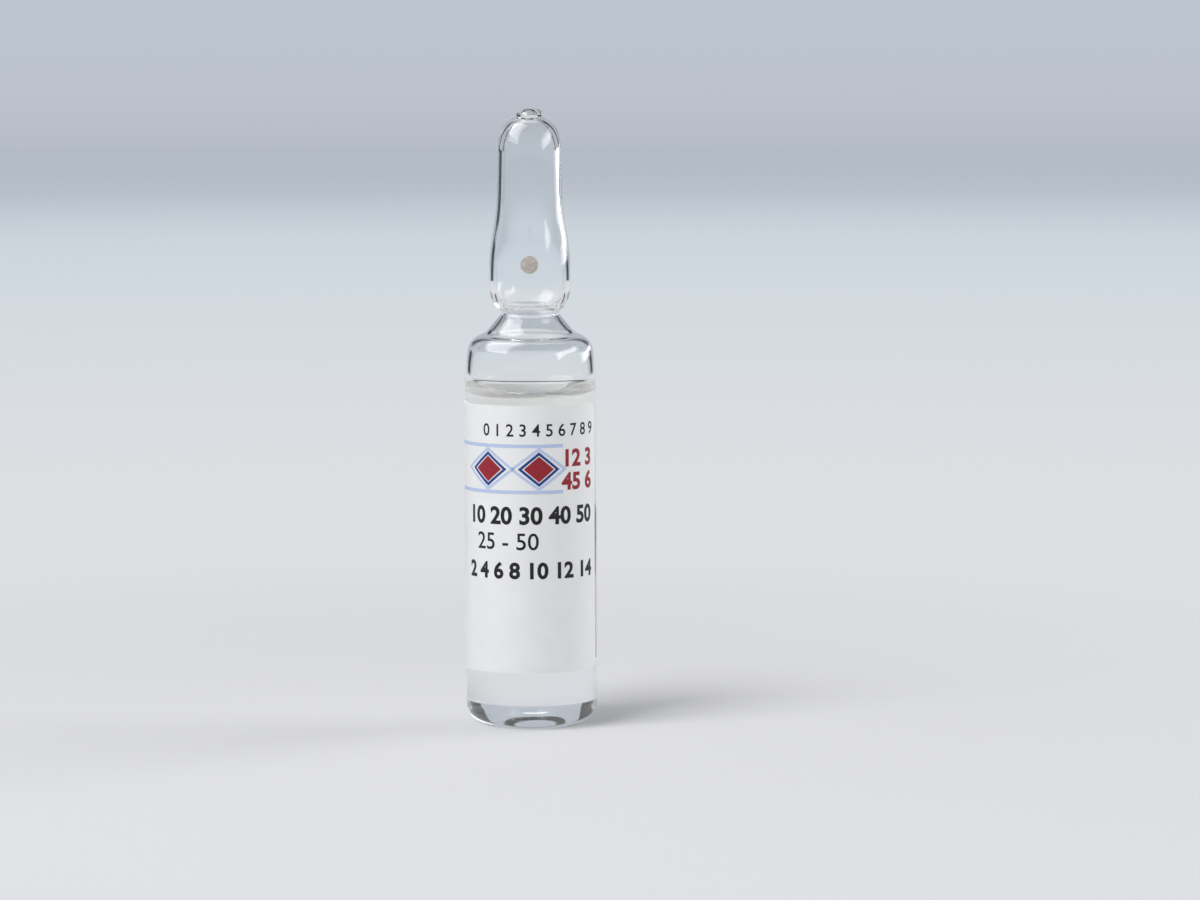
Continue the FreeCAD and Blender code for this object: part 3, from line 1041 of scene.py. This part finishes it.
def bar(ink: Ink, left: float, right: float, foot: float, top: float) -> Field:
    """Give an upright rectangle as a field."""
    return Field(ink, ((left, foot), (right, foot), (right, top), (left, top)))


LOZENGE_HEIGHT = 29.5


def lozenge(ink: Ink, middle: float, wide: float, tall: float, hole: float = 0.0) -> Field:
    """Give a lozenge in the band, or the frame of one, as a field.

    Args:
        ink: Its ink.
        middle: Place of its middle, measured round from the front.
        wide: Distance from the middle to its side corners.
        tall: Distance from the middle to its upper and lower corners.
        hole: Width of the frame, or 0 for a full lozenge.

    Returns:
        The field.
    """
    low, high = LOZENGE_HEIGHT - tall, LOZENGE_HEIGHT + tall
    return Field(ink, ((middle - wide, LOZENGE_HEIGHT), (middle, low),
                       (middle + wide, LOZENGE_HEIGHT), (middle, high)), hole)


LAYOUT = (
    Figures(Ink.BLACK, "0 1 2 3 4 5 6 7 8 9", 8.6, 33.2, 1.42, 0.02, 0.98),
    bar(Ink.PALE_BLUE, -22.0, 3.8, 26.75, 27.15),
    bar(Ink.PALE_BLUE, -22.0, 3.8, 31.9, 32.3),
    lozenge(Ink.PALE_BLUE, -5.0, 3.3, 2.45, 0.32),
    lozenge(Ink.PALE_BLUE, 1.0, 3.3, 2.45, 0.32),
    lozenge(Ink.BLUE, -5.0, 2.35, 1.95, 0.3),
    lozenge(Ink.BLUE, 1.0, 2.35, 1.95, 0.3),
    lozenge(Ink.RED, -5.0, 1.7, 1.45),
    lozenge(Ink.RED, 1.0, 1.7, 1.45),
    Figures(Ink.RED, "12 3", 8.3, 29.8, 1.9, 0.09),
    Figures(Ink.RED, "45 6", 8.3, 27.2, 1.9, 0.09),
    Figures(Ink.BLACK, "10 20 30 40 50", 8.2, 23.4, 1.95, 0.085),
    Figures(Ink.BLACK, "25 - 50", 1.0, 20.5, 1.95, 0.02),
    Figures(Ink.BLACK, "2 4 6 8 10 12 14", 8.3, 17.3, 1.8, 0.085),
)


@dataclass
class BreakDot:
    """Dot of enamel on the front of the bulb, over the score."""

    height: float = 52.15
    radius: float = 1.0
    thickness: float = 0.055
    sink: float = 0.008
    rings: int = 5
    segments: int = 64
    rim_share: float = 0.45
    rim_corner: float = 60.0
    side_centre: Pair = BULB_SIDE_CENTRE
    side_radius: float = 26.0

    def build(self, finish: Finish) -> bpy.types.Object:
        """Make the dot: a disc with a soft rim, laid on the bulb.

        Args:
            finish: Finish of the enamel.

        Returns:
            The finished piece.
        """
        shape = Shape()
        bmesh.ops.create_circle(shape.mesh, cap_ends=True, segments=self.segments, radius=self.radius)
        for _ in range(self.rings):
            middle = max(shape.mesh.faces, key=lambda face: face.calc_area())
            middle.normal_update()
            bmesh.ops.inset_individual(shape.mesh, faces=[middle],
                                       thickness=self.radius / (self.rings + 2))
        bmesh.ops.poke(shape.mesh, faces=[f for f in shape.mesh.faces if len(f.verts) > 4])
        raised = bmesh.ops.extrude_face_region(shape.mesh, geom=shape.mesh.faces[:])
        lifted = [item for item in raised["geom"] if isinstance(item, bmesh.types.BMVert)]
        for vertex in lifted:
            share = min(1.0, vertex.co.xy.length / self.radius)
            domed = math.sqrt(1 - share ** 4)
            vertex.co.z = self.thickness * (self.rim_share + (1 - self.rim_share) * domed)
        bmesh.ops.recalc_face_normals(shape.mesh, faces=shape.mesh.faces)
        shape.move(self._laid)
        piece = shape.finish("enamel_dot", finish.build(), self.rim_corner)
        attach(piece, "root")
        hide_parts("break_dot")
        return piece

    def _laid(self, place: Vector) -> Vector:
        """Lay a flat place on the front of the bulb.

        Args:
            place: Distance to the side, height from the dot's middle, and height off the glass.

        Returns:
            The place on the bulb.
        """
        up = self.height + place.y
        off = self.side_centre[0] + math.sqrt(self.side_radius ** 2 - (up - self.side_centre[1]) ** 2)
        off += place.z - self.sink
        return Vector((place.x, -math.sqrt(off ** 2 - place.x ** 2), up))


class Seen(Enum):
    """Kinds of ray that a stage piece can be hidden from."""

    CAMERA = "visible_camera"
    DIFFUSE = "visible_diffuse"
    GLOSSY = "visible_glossy"
    TRANSMISSION = "visible_transmission"
    SHADOW = "visible_shadow"


DARK = tone(34, 36, 40)
WHITE = tone(255, 255, 255)


def upright(ends: Pair, reach: float, heights: Pair, top_ends: Pair | None = None) -> tuple[Point, ...]:
    """Give the corners of an upright card from directions round the object.

    Args:
        ends: Directions of the ends of its lower edge in degrees from +X.
        reach: Distance of its ends in millimetres.
        heights: Heights of the lower and the upper edge.
        top_ends: Directions of the ends of its upper edge, where they differ.

    Returns:
        The four corners.
    """
    low, high = ends, top_ends or ends
    turns = ((low[0], heights[0]), (low[1], heights[0]), (high[1], heights[1]), (high[0], heights[1]))
    return tuple((reach * math.cos(math.radians(turn)), reach * math.sin(math.radians(turn)), height)
                 for turn, height in turns)


def overhead(*ways: Point, reach: float = 650.0, middle: Point = (0, 0, 66)) -> tuple[Point, ...]:
    """Give the corners of a raised card from directions seen from the top of the object.

    Args:
        ways: Direction of each corner.
        reach: Distance of the corners in millimetres.
        middle: Point in millimetres that the directions start from.

    Returns:
        The corners.
    """
    return tuple(tuple(Vector(middle) + Vector(way).normalized() * reach) for way in ways)


def behind_foot(*corners: Pair, reach: float = 70.0) -> tuple[Point, ...]:
    """Give the corners of a low card behind the foot, square to the front, for the painted shade and light
    seen through the foot.

    Args:
        corners: Distance to the side and height of each corner in millimetres.
        reach: Distance of the card behind the object.

    Returns:
        The corners.
    """
    return tuple((side, reach, height) for side, height in corners)


@dataclass(frozen=True)
class Card:
    """Flag or lit card that only reflections and refractions show, with edges that fade out."""

    name: str
    corners: tuple[Point, ...]
    colour: Colour = DARK
    strength: float = 1.0
    soft: float = 0.03
    ring_hole: float | None = None

    def build(self) -> None:
        """Stand the card up."""
        shape = Shape()
        face = shape.mesh.faces.new([shape.vertex(*corner) for corner in self.corners])
        layer = shape.mesh.loops.layers.uv.new("card")
        for loop, corner in zip(face.loops, ((0, 0), (1, 0), (1, 1), (0, 1))):
            loop[layer].uv = corner
        material = bpy.data.materials.new(self.name)
        material.use_nodes = True
        graph = Graph(material.node_tree)
        shown = self._mask(graph, graph.add("ShaderNodeUVMap", uv_map="card").outputs[0])
        glow = graph.add("ShaderNodeEmission", {"Color": self.colour, "Strength": self.strength})
        clear = graph.add("ShaderNodeBsdfTransparent")
        mixed = graph.add("ShaderNodeMixShader", {0: shown, 1: clear.outputs[0], 2: glow.outputs[0]})
        graph.add("ShaderNodeOutputMaterial", {"Surface": mixed.outputs[0]})
        card = shape.finish(self.name, material)
        for kind in (Seen.CAMERA, Seen.DIFFUSE, Seen.SHADOW):
            setattr(card, kind.value, False)

    def _mask(self, graph: Graph, place: bpy.types.NodeSocket) -> bpy.types.NodeSocket:
        """Work out where the card shows.

        Args:
            graph: The card's nodes.
            place: Place on the card, from 0 to 1 both ways.

        Returns:
            Share that shows: 1 on a square card or on the ring of an oval one, and 0 off it.
        """
        if self.ring_hole is None:
            parts = graph.add("ShaderNodeSeparateXYZ", {0: place}).outputs
            near = [graph.maths("MINIMUM", part, graph.maths("SUBTRACT", 1.0, part)) for part in parts[:2]]
            return graph.spread(graph.maths("MINIMUM", *near), 0.0, self.soft, 0.0, 1.0)
        from_middle = graph.add("ShaderNodeVectorMath", {0: place, 1: (0.5, 0.5, 0)}, operation="DISTANCE")
        away = from_middle.outputs["Value"]
        inner = 0.5 * self.ring_hole
        inside = graph.spread(away, inner, inner + self.soft, 0.0, 1.0)
        return graph.maths("MULTIPLY", inside, graph.spread(away, 0.5 - self.soft, 0.5, 1.0, 0.0))


CARDS = (
    Card("left_flag", upright((118, 141), 560, (0, 88)), soft=0.08),
    Card("left_high_flag", upright((109, 120), 150, (62, 190))),
    Card("right_flag", upright((39, 62), 560, (0, 88)), soft=0.08),
    Card("right_high_flag", upright((60, 71), 150, (62, 190))),
    # painted shade: dark cards behind the foot, seen only through the glass, that stand in for the shade on
    # the floor under the foot
    Card("foot_shade_ring", behind_foot((-19.0, 8.9), (13.6, 8.9), (13.6, 17.4), (-19.0, 17.4)),
         soft=0.05, ring_hole=0.56),
    Card("left_foot_shade_card", behind_foot((34, 7.5), (75, 7.5), (75, 17), (16, 17))),
    Card("right_foot_shade_card", behind_foot((-75, 5), (-38, 5), (-27, 17), (-75, 17))),
    # painted light: a lit strip behind the foot, seen only through the glass, that puts a pale streak in the
    # foot's middle
    Card("foot_light_strip", behind_foot((-9, 7.2), (4, 7.2), (4, 7.9), (-9, 7.9)), WHITE, 1.2, soft=0.2),
    Card("bright_card", upright((18, 46), 230, (52, 77), (18, 74)), WHITE, 2.4),
    Card("left_soft_box", overhead((-0.915, 0.085, 0.33), (-0.675, -0.64, 0.295),
                                   (-0.065, 0, 0.96), (-0.41, 0.525, 0.645)), WHITE, 3.6),
    Card("right_strip", overhead((0.92, 0.25, 0.30), (0.80, -0.58, 0.13),
                                 (0.69, -0.63, 0.33), (0.76, 0.36, 0.54)), WHITE, 3.6),
)


@dataclass(frozen=True)
class Lamp:
    """Soft box that lights the surfaces and faces the object, but isn't seen itself."""

    name: str
    place: Point
    size: Pair
    radiance: float
    along: Point
    aim: Point = (0, 0, 35)

    def build(self) -> None:
        """Hang the lamp."""
        data = bpy.data.lights.new(self.name, "AREA")
        data.shape = "RECTANGLE"
        data.size = self.size[0] * MM
        data.size_y = self.size[1] * MM
        data.energy = self.radiance * math.pi * data.size * data.size_y
        lamp = bpy.data.objects.new(self.name, data)
        bpy.context.scene.collection.objects.link(lamp)
        back = (Vector(self.place) - Vector(self.aim)).normalized()
        across = (Vector(self.along) - back * Vector(self.along).dot(back)).normalized()
        turned = Matrix((across, back.cross(across), back)).transposed()
        lamp.matrix_world = Matrix.Translation(Vector(self.place) * MM) @ turned.to_4x4()
        for kind in (Seen.CAMERA, Seen.GLOSSY, Seen.TRANSMISSION):
            setattr(lamp, kind.value, False)


LAMPS = (
    Lamp("left_key", (-308, -319, 566), (360, 330), 8.8, (0.72, -0.69, 0)),
    Lamp("right_fill", (580, 200, 250), (480, 280), 5.0, (0.33, -0.94, 0)),
)


@dataclass
class Studio:
    """Floor, backdrop and camera, with the cards and the lamps."""

    floor_reach: float = 1700.0
    floor_drop: float = 0.01
    floor_colour: Colour = tone(223, 223, 225)
    lit_to: float = 0.05
    even_from: float = 0.17
    tones_from: float = 0.1
    tones_to: float = 1.6
    horizon: Colour = tone(180, 187, 196)
    backdrop_span: Pair = (-0.04, 0.2)
    dim_span: Pair = (-0.04, 1.0)
    fill: Colour = tone(157, 158, 160)
    camera_distance: float = 600.0
    camera_height: float = 88.0
    camera_side: float = 7.8
    camera_pitch: float = 5.43
    camera_roll: float = -0.21
    focal_pixels: float = 5352.0

    def build(self) -> None:
        """Set up everything that isn't part of the object."""
        self._floor()
        self._world()
        for part in CARDS + LAMPS:
            part.build()
        self._camera()
        bpy.context.scene.view_settings.view_transform = "Standard"
        cycles = bpy.context.scene.cycles
        cycles.max_bounces = 24
        cycles.transmission_bounces = 24
        cycles.diffuse_bounces = 8
        cycles.glossy_bounces = 16
        cycles.transparent_max_bounces = 24

    def _floor(self) -> None:
        """Lay the pale floor, lit near the object and evenly toned far from it."""
        shape = Shape()
        bmesh.ops.create_grid(shape.mesh, x_segments=2, y_segments=2, size=self.floor_reach)
        shape.move(lambda place: Vector((place.x, place.y, -self.floor_drop)))
        material = bpy.data.materials.new("pale_floor")
        material.use_nodes = True
        graph = Graph(material.node_tree)
        place = graph.add("ShaderNodeTexCoord").outputs["Object"]
        away = graph.add("ShaderNodeVectorMath", {0: place}, operation="LENGTH").outputs["Value"]
        far = graph.spread(away, self.tones_from, self.tones_to, 0.0, 1.0)
        shown = graph.ramp(far, (
            (0.0, tone(222, 224, 227)), (0.133, tone(220, 222, 226)), (0.2, tone(218, 221, 225)),
            (0.333, tone(213, 219, 224)), (0.467, tone(209, 217, 224)), (0.6, tone(204, 212, 220)),
            (0.68, tone(198, 205, 214)), (0.745, tone(190, 198, 207)), (0.795, tone(185, 192, 202)),
            (0.9, tone(181, 188, 197)), (1.0, self.horizon),
        ))
        diffuse = graph.add("ShaderNodeBsdfDiffuse", {"Color": self.floor_colour})
        even = graph.add("ShaderNodeEmission", {"Color": shown, "Strength": 1.0})
        share = graph.spread(away, self.lit_to, self.even_from, 0.0, 1.0)
        mixed = graph.add("ShaderNodeMixShader", {0: share, 1: diffuse.outputs[0], 2: even.outputs[0]})
        graph.add("ShaderNodeOutputMaterial", {"Surface": mixed.outputs[0]})
        shape.finish("floor", material)

    def _world(self) -> None:
        """Give the room: pale low down, dim above, with an even fill on diffuse surfaces."""
        world = bpy.data.worlds.new("studio")
        bpy.context.scene.world = world
        world.use_nodes = True
        graph = Graph(world.node_tree)
        ray = graph.add("ShaderNodeLightPath").outputs
        way = graph.add("ShaderNodeTexCoord").outputs["Generated"]
        up = graph.add("ShaderNodeSeparateXYZ", {0: way}).outputs["Z"]
        seen = graph.ramp(graph.spread(up, *self.backdrop_span, 0.0, 1.0), (
            (0.0, self.horizon), (0.025, tone(185, 191, 201)), (0.043, tone(188, 194, 204)),
            (0.11, tone(189, 197, 206)), (1.0, tone(189, 197, 206)),
        ))
        dim = graph.ramp(graph.spread(up, *self.dim_span, 0.0, 1.0), (
            (0.0, tone(184, 191, 200)), (0.3, tone(178, 184, 193)), (0.6, tone(160, 165, 172)),
            (1.0, tone(150, 154, 160)),
        ))
        bent = graph.maths("MAXIMUM", ray["Is Glossy Ray"], ray["Is Transmission Ray"])
        colour = graph.blend(bent, seen, dim)
        filled = graph.blend(ray["Is Diffuse Ray"], colour, self.fill)
        background = graph.add("ShaderNodeBackground", {"Color": filled, "Strength": 1.0})
        graph.add("ShaderNodeOutputWorld", {"Surface": background.outputs[0]})

    def _camera(self) -> None:
        """Set up the camera at the photograph's angle."""
        data = bpy.data.cameras.new("camera")
        data.sensor_width = SENSOR_WIDTH
        data.lens = self.focal_pixels * SENSOR_WIDTH / IMAGE_WIDTH
        data.clip_start = 0.01
        data.clip_end = 20
        camera = bpy.data.objects.new("camera", data)
        bpy.context.scene.collection.objects.link(camera)
        pitch = Matrix.Rotation(math.radians(90 - self.camera_pitch), 4, "X")
        roll = Matrix.Rotation(math.radians(self.camera_roll), 4, "Z")
        place = Vector((self.camera_side, -self.camera_distance, self.camera_height)) * MM
        camera.matrix_world = Matrix.Translation(place) @ pitch @ roll
        bpy.context.scene.camera = camera


def main() -> None:
    """Build the stage and every piece in order, and report each one."""
    logging.basicConfig(level=logging.INFO, format="%(name)s: %(message)s")
    Studio().build()
    pieces = [Vessel().build(ClearGlass()), Fill().build(ClearSolution())]
    pieces += Label().build(LabelPaper())
    pieces.append(BreakDot().build(DotEnamel()))
    for piece in pieces:
        piece.data.calc_loop_triangles()
        log.info("%s has %d triangles", piece.name, len(piece.data.loop_triangles))


if __name__ == "__main__":
    main()
